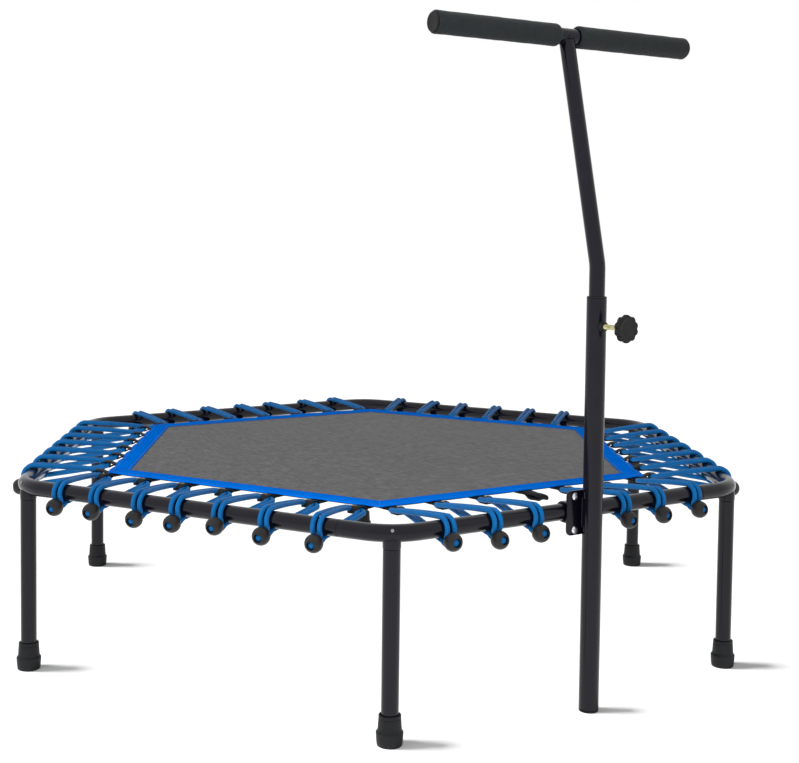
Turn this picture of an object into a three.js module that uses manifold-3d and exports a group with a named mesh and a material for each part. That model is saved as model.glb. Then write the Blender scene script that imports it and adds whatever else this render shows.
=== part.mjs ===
// Hexagonal mini trampoline with a height-adjustable T-handle.
// Millimetres, +Z up. The floor is Z = 0. The handle post stands on the -Y side.
// Every side of the hexagon is built in a frame of its own, in which -Y points outwards
// and X runs along the side, and is then turned into place about Z. Corners likewise.

import * as THREE from 'three';
import { mergeVertices } from 'three/addons/utils/BufferGeometryUtils.js';
import Module from 'manifold-3d';

const wasm = await Module();
wasm.setup();

// ---------------------------------------------------------------- driving dimensions

const GAP = 0.3;                 // clearance between pieces that touch
const CORNERS = 6;

// Frame
const TUBE_R = 12.5;             // rails and legs, 25 mm steel tube
const WALL = 1.5;
const TUBE_SIDES = 14;           // facets around a frame tube
const RAIL_Z = 298;              // height of the rail's centre line
const APOTHEM = 578;             // hexagon centre to the centre line of a side
const BEND_R = 78;               // centre line of a corner bend
const CORNER_ARM = 38;           // straight run on each side of a bend
const SPIGOT_LENGTH = 34;        // swaged end of a side tube inside a corner
const SOCKET_R = 13.5;           // threaded socket welded under each corner
const SOCKET_DROP = 8.5;         // how far it shows below the rail
const LEG_THREAD_R = 5;
const LEG_THREAD_LENGTH = 16;
const CORNER_SCREW_R = 2.5;
const CORNER_HEAD_R = 3.4;
const CORNER_SCREW_RISE = THREE.MathUtils.degToRad(28);   // above the horizontal

// Rubber feet
const FOOT_BASE_R = 19.5;
const FOOT_COLLAR_R = 15.8;
const FOOT_RIDGE_Z = 20;
const FOOT_HEIGHT = 44;
const FOOT_FLOOR = 6;

// Jumping mat
const MAT_RADIUS = 518;          // centre to a corner of the mat
const MAT_TOP = 305.2;
const MAT_THICK = 1.6;
const BORDER_WIDTH = 34;
const BORDER_THICK = 1;
const MAT_TWIST = THREE.MathUtils.degToRad(-1.1);   // the cords turn the mat a little

// Bungees
const BUNGEE_SPACING = 80;
const BUNGEES_PER_SIDE = 7;
const CORD_SHIFT = -5;            // the cords follow the mat's twist part of the way
const ROW_SHIFTS = [0, 0, 0, 0, 0, -12];   // one side is hung a little off its middle
const STRAP_WIDTH = 25;          // webbing tabs sewn under the mat's edge
const STRAP_REACH = 30;
const STRAP_THICK = 4.5;
const TAPE_WIDTH = 4;
const CORD = 7.5;
const PAIR_WIDTH = 18.5;         // two strands lying side by side
const BALL_R = 14;
const BALL_OUT = 22;             // ball centre beyond the rail's centre line
const BALL_DROP = 21;            // ball centre below the rail's centre line

// Handle
const POST_R = 14.9;
const POST_TOP = 618;
const UPPER_R = 11.8;             // sliding tube and crossbar
const UPPER_BOTTOM = 294;
const BEND_Z = 667;              // where the sliding tube starts to lean inwards
const HANDLE_BEND_R = 60;
const LEAN = THREE.MathUtils.degToRad(13.2);
const BAR_Z = 1009;
const BAR_HALF = 240;
const GRIP_R = 17;
const GRIP_INNER = 19;           // bare bar each side of the middle
const GRIP_OUTER = 242;
const END_CAP_R = 15;

// Clamp between post and rail
const CLAMP_WIDTH = 65;
const CLAMP_HEIGHT = 67;
const CLAMP_X = -3.5;            // middle of the plate, from the post's centre
const CLAMP_PLATE = 3;
const SHELL_WIDTH = 57;
const SHELL_HEIGHT = 62;
const SCREW_X = 22;              // clamp screws, from the post's centre
const SCREW_Z = 25;              // and from the middle of the plate
const SCREW_R = 3;

// Knob
const KNOB_Z = 577;
const KNOB_TURN = THREE.MathUtils.degToRad(-88);
const KNOB_R = 20.8;
const KNOB_LOBES = 10;
const KNOB_BACK = 54;            // distances from the post's centre along the stud
const KNOB_FRONT = 68;
const STUD_R = 4;
const NUT_R = 7;
const NUT_END = 19;

// ---------------------------------------------------------------- materials

const finish = (color, roughness, metalness = 0) =>
  new THREE.MeshStandardMaterial({ color, roughness, metalness });

const paint = finish(0x24242a, 0.35, 0.4);
const zinc = finish(0xc8c8cc, 0.3, 1);
const yellowZinc = finish(0xc9c07a, 0.35, 1);
const rubber = finish(0x232326, 0.7);
const plastic = finish(0x2c2c2e, 0.5);
const foam = finish(0x2e3032, 0.9);
const matFabric = finish(0x55555a, 0.8);
const borderFabric = finish(0x1468dc, 0.7);
const cordFabric = finish(0x14619f, 0.7);

// ---------------------------------------------------------------- geometry helpers

const part = new THREE.Group();

function add(parent, name, geometry, material) {
  const mesh = new THREE.Mesh(geometry, material);
  mesh.name = name;
  parent.add(mesh);
  return mesh;
}

// A group turned about Z, for one side or one corner.
function turned(angle) {
  const group = new THREE.Group();
  group.rotation.z = angle;
  part.add(group);
  return group;
}

function solid(geometry) {
  geometry.deleteAttribute('normal');
  geometry.deleteAttribute('uv');
  const merged = mergeVertices(geometry, 1e-4);
  return new wasm.Manifold(new wasm.Mesh({
    numProp: 3,
    vertProperties: Float32Array.from(merged.attributes.position.array),
    triVerts: Uint32Array.from(merged.index.array),
  }));
}

function meshed(manifold) {
  const mesh = manifold.getMesh();
  const geometry = new THREE.BufferGeometry();
  geometry.setAttribute('position', new THREE.BufferAttribute(mesh.vertProperties, 3));
  geometry.setIndex(new THREE.BufferAttribute(mesh.triVerts, 1));
  geometry.computeVertexNormals();
  return geometry;
}

const join = (...geometries) => meshed(geometries.map(solid).reduce((a, b) => a.add(b)));

const cut = (geometry, ...tools) =>
  meshed(tools.reduce((body, tool) => body.subtract(solid(tool)), solid(geometry)));

// Corner points of a regular polygon, counter-clockwise.
function ring(radius, sides) {
  const points = [];
  for (let i = 0; i < sides; i++) {
    const angle = (2 * Math.PI * i) / sides;
    points.push(new THREE.Vector2(radius * Math.cos(angle), radius * Math.sin(angle)));
  }
  return points;
}

function tubeShape(radius, wall, sides) {
  const shape = new THREE.Shape(ring(radius, sides));
  if (wall) shape.holes.push(new THREE.Path(ring(radius - wall, sides)));
  return shape;
}

// A straight rod or, with a wall, a tube from Z = bottom to Z = top.
function rod(radius, bottom, top, sides = 16, wall = 0) {
  const geometry = new THREE.ExtrudeGeometry(tubeShape(radius, wall, sides), {
    depth: top - bottom,
    bevelEnabled: false,
  });
  return geometry.translate(0, 0, bottom);
}

const alongX = (geometry) => geometry.rotateY(Math.PI / 2);

// Z of the geometry is turned to point outwards, along -Y.
const alongOut = (geometry) => geometry.rotateX(Math.PI / 2);

function box(x0, x1, y0, y1, z0, z1) {
  const geometry = new THREE.BoxGeometry(x1 - x0, y1 - y0, z1 - z0);
  return geometry.translate((x0 + x1) / 2, (y0 + y1) / 2, (z0 + z1) / 2);
}

// A body of revolution about Z. The profile [radius, z] starts and ends on the axis,
// or is closed on itself when it stays clear of the axis.
function revolved(profile, sides) {
  const points = profile.map(([r, z]) => new THREE.Vector2(r, z));
  if (profile[0][0] > 0) points.push(points[0].clone());
  return new THREE.LatheGeometry(points, sides).rotateX(Math.PI / 2);
}

// A path given by stations, each a point and a direction, with a section at each of them.
class StationPath extends THREE.Curve {
  constructor(stations) {
    super();
    this.stations = stations;
  }

  at(u) {
    return this.stations[Math.round(u * (this.stations.length - 1))];
  }

  getPointAt(u) {
    return this.at(u).point.clone();
  }

  getTangentAt(u) {
    return this.at(u).direction.clone();
  }
}

function swept(shape, stations) {
  return new THREE.ExtrudeGeometry(shape, {
    extrudePath: new StationPath(stations),
    steps: stations.length - 1,
    bevelEnabled: false,
  });
}

// A straight run of length before, a bend of angle turn and a straight run of length after,
// in the plane of the two unit vectors ahead and aside. The bend starts at the given point.
function bentStations(start, ahead, aside, radius, turn, before, after, steps) {
  const stations = [];
  const place = (point, direction) => stations.push({ point, direction });
  place(start.clone().addScaledVector(ahead, -before), ahead.clone());
  for (let i = 0; i <= steps; i++) {
    const angle = (turn * i) / steps;
    const point = start.clone()
      .addScaledVector(ahead, radius * Math.sin(angle))
      .addScaledVector(aside, radius * (1 - Math.cos(angle)));
    const direction = ahead.clone().multiplyScalar(Math.cos(angle))
      .addScaledVector(aside, Math.sin(angle));
    place(point, direction);
  }
  const last = stations[stations.length - 1];
  place(last.point.clone().addScaledVector(last.direction, after), last.direction.clone());
  return stations;
}

// ---------------------------------------------------------------- frame

const HALF_TURN = Math.PI / CORNERS;
const STRAIGHT = (APOTHEM - BEND_R) * Math.tan(HALF_TURN) - CORNER_ARM;  // half a side tube
const CORNER_RADIUS = APOTHEM / Math.cos(HALF_TURN) - BEND_R * (1 / Math.cos(HALF_TURN) - 1);
const LEG_TOP = RAIL_Z - TUBE_R - SOCKET_DROP;
const LEG_BORE_TOP = LEG_TOP + LEG_THREAD_LENGTH + 2;

// The bent rail at a corner, with the leg's threaded socket welded under it.
function cornerRail() {
  const centre = new THREE.Vector3(0, -(CORNER_RADIUS - BEND_R), RAIL_Z);
  const ahead = new THREE.Vector3(Math.cos(HALF_TURN), -Math.sin(HALF_TURN), 0);
  const aside = new THREE.Vector3(Math.sin(HALF_TURN), Math.cos(HALF_TURN), 0);
  const start = centre.clone().addScaledVector(aside, -BEND_R);
  const bend = (radius, arm) => swept(tubeShape(radius, 0, TUBE_SIDES),
    bentStations(start, ahead, aside, BEND_R, 2 * HALF_TURN, arm, arm, 4));
  const legBore = rod(LEG_THREAD_R + GAP, LEG_TOP - 1, LEG_BORE_TOP, 10);
  const socket = rod(SOCKET_R, LEG_TOP, RAIL_Z - TUBE_R / 2, TUBE_SIDES);
  const screwHole = alongOut(rod(CORNER_SCREW_R + GAP, 0, 3 * TUBE_R, 8)).rotateX(-CORNER_SCREW_RISE);
  const tube = solid(bend(TUBE_R, CORNER_ARM - GAP / 2))
    .add(solid(socket.translate(0, -CORNER_RADIUS, 0)))
    .subtract(solid(bend(TUBE_R - WALL, CORNER_ARM + 1)))
    .subtract(solid(legBore.translate(0, -CORNER_RADIUS, 0)))
    .subtract(solid(screwHole.translate(0, -CORNER_RADIUS, RAIL_Z)));
  return meshed(tube);
}

// A side tube: full bore between the corners, swaged at both ends to slide into them.
function sideRail() {
  const half = STRAIGHT - GAP / 2;
  const spigot = (TUBE_R - WALL) * Math.cos(Math.PI / TUBE_SIDES) - GAP;
  const bore = spigot - WALL;
  const tip = half + SPIGOT_LENGTH;
  const outline = [[spigot, tip], [bore, tip], [bore, -tip], [spigot, -tip], [spigot, -half],
    [TUBE_R, -half], [TUBE_R, half], [spigot, half]];
  return alongX(revolved(outline, TUBE_SIDES)).translate(0, -APOTHEM, RAIL_Z);
}

function leg() {
  const tube = rod(TUBE_R, FOOT_FLOOR + GAP, LEG_TOP - GAP, TUBE_SIDES, WALL);
  const plug = rod(TUBE_R - WALL / 2, LEG_TOP - 6, LEG_TOP - GAP, TUBE_SIDES);
  const thread = rod(LEG_THREAD_R, LEG_TOP - 3, LEG_TOP + LEG_THREAD_LENGTH, 10);
  return join(tube, plug, thread).translate(0, -CORNER_RADIUS, 0);
}

function foot() {
  const bore = TUBE_R + GAP;
  const profile = [[0, 0], [FOOT_BASE_R - 1, 0], [FOOT_BASE_R, 2], [FOOT_BASE_R - 0.6, FOOT_RIDGE_Z - 3],
    [FOOT_BASE_R, FOOT_RIDGE_Z], [FOOT_COLLAR_R + 1.6, FOOT_RIDGE_Z + 3],
    [FOOT_COLLAR_R, FOOT_HEIGHT], [bore, FOOT_HEIGHT], [bore, FOOT_FLOOR], [0, FOOT_FLOOR]];
  return revolved(profile, 16).translate(0, -CORNER_RADIUS, 0);
}

// A pan-head screw along Z with its head resting on Z = 0 and its shank below.
function screw(shankRadius, length, headRadius, headHeight) {
  return revolved([[0, -length], [shankRadius, -length], [shankRadius, 0], [headRadius, 0],
    [headRadius, headHeight * 0.4], [headRadius * 0.7, headHeight], [0, headHeight]], 10);
}

for (let i = 0; i < CORNERS; i++) {
  const corner = turned((2 * i - 1) * HALF_TURN);
  const label = i + 1;
  add(corner, `rail_corner_${label}`, cornerRail(), paint);
  add(corner, `leg_${label}`, leg(), paint);
  add(corner, `foot_${label}`, foot(), rubber);
  const head = alongOut(screw(CORNER_SCREW_R, 6, CORNER_HEAD_R, 2.2)).translate(0, -TUBE_R - GAP, 0);
  head.rotateX(-CORNER_SCREW_RISE).translate(0, -CORNER_RADIUS, RAIL_Z);
  add(corner, `corner_screw_${label}`, head, zinc);
  add(turned(2 * i * HALF_TURN), `rail_side_${label}`, sideRail(), paint);
}

// ---------------------------------------------------------------- mat

function matSheet() {
  const sheet = new THREE.Shape(ring(MAT_RADIUS, CORNERS));
  const geometry = new THREE.ExtrudeGeometry(sheet, { depth: MAT_THICK, bevelEnabled: false });
  return geometry.translate(0, 0, MAT_TOP - MAT_THICK);
}

function matBorder() {
  const inner = MAT_RADIUS - BORDER_WIDTH / Math.cos(HALF_TURN);
  const strip = new THREE.Shape(ring(MAT_RADIUS, CORNERS));
  strip.holes.push(new THREE.Path(ring(inner, CORNERS)));
  const geometry = new THREE.ExtrudeGeometry(strip, { depth: BORDER_THICK, bevelEnabled: false });
  return geometry.translate(0, 0, MAT_TOP + GAP);
}

add(part, 'mat_fabric', matSheet().rotateZ(MAT_TWIST), matFabric);
add(part, 'mat_border', matBorder().rotateZ(MAT_TWIST), borderFabric);

// ---------------------------------------------------------------- bungees

const MAT_EDGE = MAT_RADIUS * Math.cos(HALF_TURN) + GAP;
const STRAP_Z = MAT_TOP - MAT_THICK - STRAP_THICK / 2;

// The side view of one bungee, outward distance to the right and height upwards: two strands
// over the rail and two back under it, from the webbing tab to the rail and round its outside.
function bungeeOutline() {
  const tabEnd = MAT_EDGE + STRAP_REACH;
  const steps = 4;
  const inside = (TUBE_R + GAP) / Math.cos(Math.PI / (2 * steps));
  const wrap = (radius) => {
    const points = [];
    for (let i = 0; i <= steps; i++) {
      const angle = -Math.PI / 2 + (Math.PI * i) / steps;
      points.push(new THREE.Vector2(APOTHEM + radius * Math.cos(angle), RAIL_Z + radius * Math.sin(angle)));
    }
    return points;
  };
  const outer = [new THREE.Vector2(tabEnd - 12, STRAP_Z - CORD + 2), ...wrap(inside + CORD),
    new THREE.Vector2(tabEnd - 12, STRAP_Z + CORD - 2)];
  const inner = [new THREE.Vector2(tabEnd - 3, STRAP_Z - 1), ...wrap(inside),
    new THREE.Vector2(tabEnd - 3, STRAP_Z + 1)];
  const shape = new THREE.Shape(outer);
  shape.holes.push(new THREE.Path(inner));
  return shape;
}

function bungee() {
  const loop = new THREE.ExtrudeGeometry(bungeeOutline(), { depth: PAIR_WIDTH, bevelEnabled: false });
  loop.rotateX(Math.PI / 2).rotateZ(-Math.PI / 2).translate(PAIR_WIDTH / 2, 0, 0);
  const ball = new THREE.SphereGeometry(BALL_R, 8, 6);
  ball.rotateX(Math.PI / 2).translate(0, -(APOTHEM + BALL_OUT), RAIL_Z - BALL_DROP);
  return solid(loop).add(solid(ball));
}

// All the bungees of one side, joined by the webbing tape that their tabs are part of.
// The clamp takes the middle place on its own side, where the tab hangs empty.
function bungeeRow(emptyMiddle, shift) {
  const middle = (BUNGEES_PER_SIDE - 1) / 2;
  const tapeHalf = middle * BUNGEE_SPACING + STRAP_WIDTH / 4;
  const z0 = STRAP_Z - STRAP_THICK / 2;
  const z1 = STRAP_Z + STRAP_THICK / 2;
  let webbing = solid(box(shift - tapeHalf, shift + tapeHalf, -MAT_EDGE - TAPE_WIDTH, -MAT_EDGE, z0, z1));
  let cords = null;
  for (let i = 0; i < BUNGEES_PER_SIDE; i++) {
    const x = (i - middle) * BUNGEE_SPACING + shift;
    const width = i === 0 || i === BUNGEES_PER_SIDE - 1 ? STRAP_WIDTH / 2 : STRAP_WIDTH;
    const tab = box(x - width / 2, x + width / 2, -MAT_EDGE - STRAP_REACH, -MAT_EDGE - 1, z0, z1);
    webbing = webbing.add(solid(tab));
    if (i === middle && emptyMiddle) continue;
    const cord = bungee().translate(x + CORD_SHIFT, 0, 0);
    cords = cords ? cords.add(cord) : cord;
  }
  return meshed(webbing.rotate(0, 0, THREE.MathUtils.radToDeg(MAT_TWIST)).add(cords));
}

ROW_SHIFTS.forEach((shift, i) => {
  add(turned(2 * i * HALF_TURN), `bungee_row_${i + 1}`, bungeeRow(i === 0, shift), cordFabric);
});

// ---------------------------------------------------------------- clamp

const RAIL_Y = -APOTHEM;
const SHELL_IN = TUBE_R + GAP;
const SHELL_OUT = SHELL_IN + CLAMP_PLATE;
const PLATE_BACK = RAIL_Y - SHELL_IN;            // face towards the rail
const PLATE_FACE = PLATE_BACK - CLAMP_PLATE;
const POST_Y = PLATE_FACE - GAP - POST_R;
const NUT_THICK = 5;

function roundedPlate(width, height, corner, thickness) {
  const w = width / 2 - corner;
  const h = height / 2 - corner;
  const shape = new THREE.Shape();
  shape.absarc(w, h, corner, 0, Math.PI / 2, false);
  shape.absarc(-w, h, corner, Math.PI / 2, Math.PI, false);
  shape.absarc(-w, -h, corner, Math.PI, 1.5 * Math.PI, false);
  shape.absarc(w, -h, corner, 1.5 * Math.PI, 2 * Math.PI, false);
  return new THREE.ExtrudeGeometry(shape, { depth: thickness, bevelEnabled: false, curveSegments: 4 });
}

const screwPlaces = [];
for (const sx of [-1, 1]) {
  for (const sz of [-1, 1]) screwPlaces.push([sx * SCREW_X, RAIL_Z + sz * SCREW_Z]);
}

function screwHoles() {
  return screwPlaces.map(([x, z]) =>
    alongOut(rod(SCREW_R + GAP, -200, 200, 10)).translate(x, RAIL_Y, z));
}

// The plate between the post, which is welded to it, and the rail.
function clampFront() {
  const plate = alongOut(roundedPlate(CLAMP_WIDTH, CLAMP_HEIGHT, 8, CLAMP_PLATE));
  return cut(plate.translate(CLAMP_X, PLATE_BACK, RAIL_Z), ...screwHoles());
}

// The shell round the rail: a half-round channel with a flange above and below it against
// the plate, and the nuts welded on the flanges.
function clampRear() {
  const outline = new THREE.Shape();
  const face = GAP - SHELL_IN;
  const back = face + CLAMP_PLATE;
  const half = SHELL_HEIGHT / 2;
  const steps = 8;
  outline.moveTo(face, half);
  outline.lineTo(face, SHELL_IN);
  for (let i = 0; i <= steps; i++) {
    const angle = Math.PI / 2 - (Math.PI * i) / steps;
    const radius = SHELL_IN / Math.cos(Math.PI / (2 * steps));
    outline.lineTo(radius * Math.cos(angle), radius * Math.sin(angle));
  }
  outline.lineTo(face, -SHELL_IN);
  outline.lineTo(face, -half);
  outline.lineTo(back, -half);
  outline.lineTo(back, -SHELL_OUT);
  for (let i = 0; i <= steps; i++) {
    const angle = -Math.PI / 2 + (Math.PI * i) / steps;
    outline.lineTo(SHELL_OUT * Math.cos(angle), SHELL_OUT * Math.sin(angle));
  }
  outline.lineTo(back, SHELL_OUT);
  outline.lineTo(back, half);
  const shell = new THREE.ExtrudeGeometry(outline, { depth: SHELL_WIDTH, bevelEnabled: false });
  shell.rotateX(Math.PI / 2).rotateZ(Math.PI / 2);
  shell.translate(CLAMP_X - SHELL_WIDTH / 2, RAIL_Y, RAIL_Z);
  const nuts = screwPlaces.map(([x, z]) =>
    alongOut(rod(5.2, -NUT_THICK, 0.5, 6)).translate(x, RAIL_Y + back, z));
  return cut(join(shell, ...nuts), ...screwHoles());
}

add(part, 'clamp_front', clampFront(), paint);
add(part, 'clamp_rear', clampRear(), paint);
screwPlaces.forEach(([x, z], i) => {
  const bolt = alongOut(screw(SCREW_R, 3 * CLAMP_PLATE + NUT_THICK + 2, 5.6, 3.4));
  add(part, `clamp_screw_${i + 1}`, bolt.translate(x, PLATE_FACE - GAP, z), zinc);
});

// ---------------------------------------------------------------- handle post and knob

const handle = new THREE.Group();
handle.position.set(0, POST_Y, 0);
part.add(handle);

// Along the knob's stud, from the post's centre: Z of the geometry is turned into place.
function alongStud(geometry) {
  return geometry.rotateY(Math.PI / 2).rotateZ(KNOB_TURN).translate(0, 0, KNOB_Z);
}

function post() {
  const tube = rod(POST_R, 3 + GAP, POST_TOP, 20, WALL);
  return cut(tube, alongStud(rod(STUD_R + GAP, 0, 2 * POST_R, 10)));
}

function postCap() {
  const inner = POST_R - WALL - GAP;
  return revolved([[0, 0], [POST_R, 0], [POST_R, 3], [inner, 3], [inner, 38], [0, 38]], 20);
}

function postBushing() {
  const inner = UPPER_R + GAP;
  const outer = POST_R - WALL - GAP;
  return revolved([[inner, POST_TOP - 30], [outer, POST_TOP - 30], [outer, POST_TOP + GAP],
    [POST_R, POST_TOP + GAP], [POST_R - 0.6, POST_TOP + 3], [inner, POST_TOP + 3]], 20);
}

function knobNut() {
  const nut = alongStud(rod(NUT_R, POST_R - 3, NUT_END, 16));
  const bore = alongStud(rod(STUD_R + GAP, 0, 2 * NUT_END, 12));
  return cut(nut, bore, rod(POST_R + GAP, KNOB_Z - 20, KNOB_Z + 20, 20));
}

function knobBody() {
  const outline = [];
  const steps = 4 * KNOB_LOBES;
  for (let i = 0; i < steps; i++) {
    const angle = (2 * Math.PI * i) / steps;
    const radius = KNOB_R - 1.2 + 1.2 * Math.cos(KNOB_LOBES * angle);
    outline.push(new THREE.Vector2(radius * Math.cos(angle), radius * Math.sin(angle)));
  }
  const head = new THREE.ExtrudeGeometry(new THREE.Shape(outline), {
    depth: KNOB_FRONT - KNOB_BACK - 5,
    bevelThickness: 2.5,
    bevelSize: 2.5,
    bevelOffset: -2.5,
    bevelSegments: 1,
  });
  head.translate(0, 0, KNOB_BACK + 2.5);
  const bore = rod(STUD_R + GAP, KNOB_BACK - 1, KNOB_FRONT - 6, 12);
  return alongStud(cut(head, bore));
}

add(handle, 'outer_post', post(), paint);
add(handle, 'post_cap', postCap(), plastic);
add(handle, 'post_bushing', postBushing(), plastic);
add(handle, 'knob_nut', knobNut(), paint);
add(handle, 'knob_stud', alongStud(rod(STUD_R, UPPER_R + GAP, KNOB_FRONT - 6 - GAP, 12)), yellowZinc);
add(handle, 'knob', knobBody(), plastic);

// ---------------------------------------------------------------- sliding handle

const barReach = BAR_Z - BEND_Z;
const barLean = barReach * Math.tan(LEAN);
const bar = new THREE.Group();
bar.position.set(0, barLean, BAR_Z);
handle.add(bar);

// The sliding tube: straight inside the post, then leaning inwards up to the crossbar.
function upperTube() {
  const tangent = HANDLE_BEND_R * Math.tan(LEAN / 2);
  const start = new THREE.Vector3(0, 0, BEND_Z - tangent);
  const up = new THREE.Vector3(0, 0, 1);
  const inwards = new THREE.Vector3(0, 1, 0);
  const before = start.z - UPPER_BOTTOM;
  const after = barReach / Math.cos(LEAN) - tangent;
  const stations = bentStations(start, up, inwards, HANDLE_BEND_R, LEAN, before, after, 4);
  const tube = swept(tubeShape(UPPER_R, WALL, 16), stations);
  const crossbar = alongX(rod(UPPER_R + GAP, -40, 40, 16)).translate(0, barLean, BAR_Z);
  return cut(tube, crossbar);
}

function tubeGlide() {
  const outer = POST_R - WALL - GAP;
  const inner = UPPER_R - WALL - GAP;
  return revolved([[0, UPPER_BOTTOM - 5], [outer, UPPER_BOTTOM - 5], [outer, UPPER_BOTTOM - GAP],
    [inner, UPPER_BOTTOM - GAP], [inner, UPPER_BOTTOM + 16], [0, UPPER_BOTTOM + 16]], 16);
}

function grip() {
  const bore = UPPER_R + GAP;
  return alongX(revolved([[bore, GRIP_INNER], [GRIP_R - 2.5, GRIP_INNER], [GRIP_R, GRIP_INNER + 3],
    [GRIP_R, GRIP_OUTER - 3], [GRIP_R - 1.5, GRIP_OUTER], [bore, GRIP_OUTER]], 18));
}

function endCap() {
  const spigot = UPPER_R - WALL - GAP;
  const face = GRIP_OUTER + GAP;
  return alongX(revolved([[0, BAR_HALF - 18], [spigot, BAR_HALF - 18], [spigot, face], [END_CAP_R, face],
    [END_CAP_R, face + 1.5], [END_CAP_R - 2, face + 3], [0, face + 3]], 18));
}

add(handle, 'upper_tube', upperTube(), paint);
add(handle, 'tube_glide', tubeGlide(), plastic);
add(bar, 'crossbar', alongX(rod(UPPER_R, -BAR_HALF, BAR_HALF, 16, WALL)), paint);
['left', 'right'].forEach((hand, i) => {
  const facing = new THREE.Group();
  facing.rotation.z = i === 0 ? Math.PI : 0;
  bar.add(facing);
  add(facing, `grip_${hand}`, grip(), foam);
  add(facing, `end_cap_${hand}`, endCap(), plastic);
});

// ---------------------------------------------------------------- origin

// The origin is on the floor at the middle of the bounding box.
const bounds = new THREE.Box3().setFromObject(part, true);
part.position.set(-(bounds.min.x + bounds.max.x) / 2, -(bounds.min.y + bounds.max.y) / 2, -bounds.min.z);

export default part;
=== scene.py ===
"""The looks of a hexagonal mini trampoline with a T-handle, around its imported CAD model.

Metres, +Z up. Each side of the hexagon is made in a frame of its own, in which X runs along
the side and -Y points outwards from the middle, and is then turned into place. Corners likewise.
"""

import math
import random

import bmesh
import bpy
from mathutils import Matrix, Vector


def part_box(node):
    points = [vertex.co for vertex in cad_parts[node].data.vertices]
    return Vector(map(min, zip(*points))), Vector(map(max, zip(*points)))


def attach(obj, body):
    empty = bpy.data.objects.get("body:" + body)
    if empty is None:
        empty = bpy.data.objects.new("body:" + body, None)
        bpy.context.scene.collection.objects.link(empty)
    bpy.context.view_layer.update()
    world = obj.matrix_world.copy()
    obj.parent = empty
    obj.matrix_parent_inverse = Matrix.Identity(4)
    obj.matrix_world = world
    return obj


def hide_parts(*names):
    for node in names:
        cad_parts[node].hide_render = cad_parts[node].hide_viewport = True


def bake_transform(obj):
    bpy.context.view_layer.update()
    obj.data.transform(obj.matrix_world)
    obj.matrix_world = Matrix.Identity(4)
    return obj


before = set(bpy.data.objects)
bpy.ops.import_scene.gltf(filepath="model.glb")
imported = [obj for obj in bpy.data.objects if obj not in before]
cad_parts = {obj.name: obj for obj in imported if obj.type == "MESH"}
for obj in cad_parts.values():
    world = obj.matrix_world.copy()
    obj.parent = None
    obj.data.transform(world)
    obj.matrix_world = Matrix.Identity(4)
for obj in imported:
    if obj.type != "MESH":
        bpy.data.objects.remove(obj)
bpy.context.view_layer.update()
chance = random.Random(5)

MM = 0.001
SIDES = 6


def middle(node):
    low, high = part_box(node)
    return (low + high) / 2


def half_size(node):
    """Half of a node's extent along each axis."""
    low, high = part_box(node)
    return (high - low) / 2


def in_mm(corners):
    """A profile or an outline given in millimetres, in metres."""
    return [tuple(value * MM for value in corner) for corner in corners]


# ---------------- sizes, from the frame

CENTRE = Vector((0, middle("mat_fabric").y, 0))
RAIL_R = half_size("rail_side_1").y
RAIL_Z = middle("rail_side_1").z
APOTHEM = CENTRE.y - middle("rail_side_1").y
CORNER_R = middle("foot_3").x
TAN = math.tan(math.pi / SIDES)
COS = math.cos(math.pi / SIDES)
BEND_R = (APOTHEM / COS - CORNER_R) / (1 / COS - 1)
SPIGOT = 34 * MM
SIDE_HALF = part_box("rail_side_1")[1].x - SPIGOT
WALL = 1.5 * MM
FOOT_FLOOR = 6 * MM                 # inside a foot, where the leg stands
SCREW_RISE = math.radians(28)       # of the corner screws above the horizontal

MAT_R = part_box("mat_fabric")[1].x
MAT_EDGE = MAT_R * COS
MAT_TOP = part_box("mat_fabric")[1].z
MAT_THICK = 1.6 * MM
BORDER_WIDTH = 34 * MM

BUNGEES = 7
SPACING = 80 * MM
CORD_R = 3.75 * MM
PAIR = 11.3 * MM                    # between the centres of two strands side by side
EYE_OUT = MAT_EDGE + 20 * MM        # where the cords pass through a tab
EYE_Z = MAT_TOP - MAT_THICK - 2.4 * MM
TAB_WIDTH = 17 * MM
BALL_R = 13.5 * MM
BALL_OUT = 22 * MM                  # ball's centre beyond the rail's centre line
BALL_DROP = 20.5 * MM               # and below it
TWIST = math.radians(-1.1)          # the cords turn the mat a little
CORD_SHIFT = -5 * MM                # and follow it part of the way
ROW_SHIFTS = (0, 0, 0, 0, 0, -12 * MM)
LEFT_SLIPS = (12, 4, 6, -4, -8, -8, -1)        # cords pushed along the rail by hand, in mm
POST_SLIPS = (-2, 0, -5, 0, 7, -1, -3)
LEFT_LIFTS = (0, 1, -1, 0, 5, 0, 0)            # and balls pulled up against it, in mm
POST_LIFTS = (5, -2, -1, 0, 0, 0, 0)
BALL_TILTS = (4, -6, -4, -8, -2, -11)          # degrees, of the hole through a ball, for each side

POST = middle("outer_post")
POST_R = half_size("outer_post").x
POST_LOW, POST_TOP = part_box("outer_post")[0].z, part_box("outer_post")[1].z
BAR = middle("crossbar")
BAR_HALF = half_size("crossbar").x
UPPER_R = half_size("crossbar").z        # of the crossbar and of the sliding tube
GRIP_R = half_size("grip_left").y
KNOB_Z = middle("knob").z
KNOB_TURN = math.radians(-88)
KNOB_BACK, KNOB_FRONT = 54 * MM, 68 * MM   # from the post's centre along the stud
BOSS_END = 19 * MM
GRIP_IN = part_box("grip_right")[0].x - BAR.x
GRIP_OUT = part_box("grip_right")[1].x - BAR.x


# ---------------- making meshes

def added(name, data, place=Matrix()):
    """A new object in the scene, standing in the frame of the given place."""
    thing = bpy.data.objects.new(name, data)
    thing.matrix_world = place
    bpy.context.scene.collection.objects.link(thing)
    return thing


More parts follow.
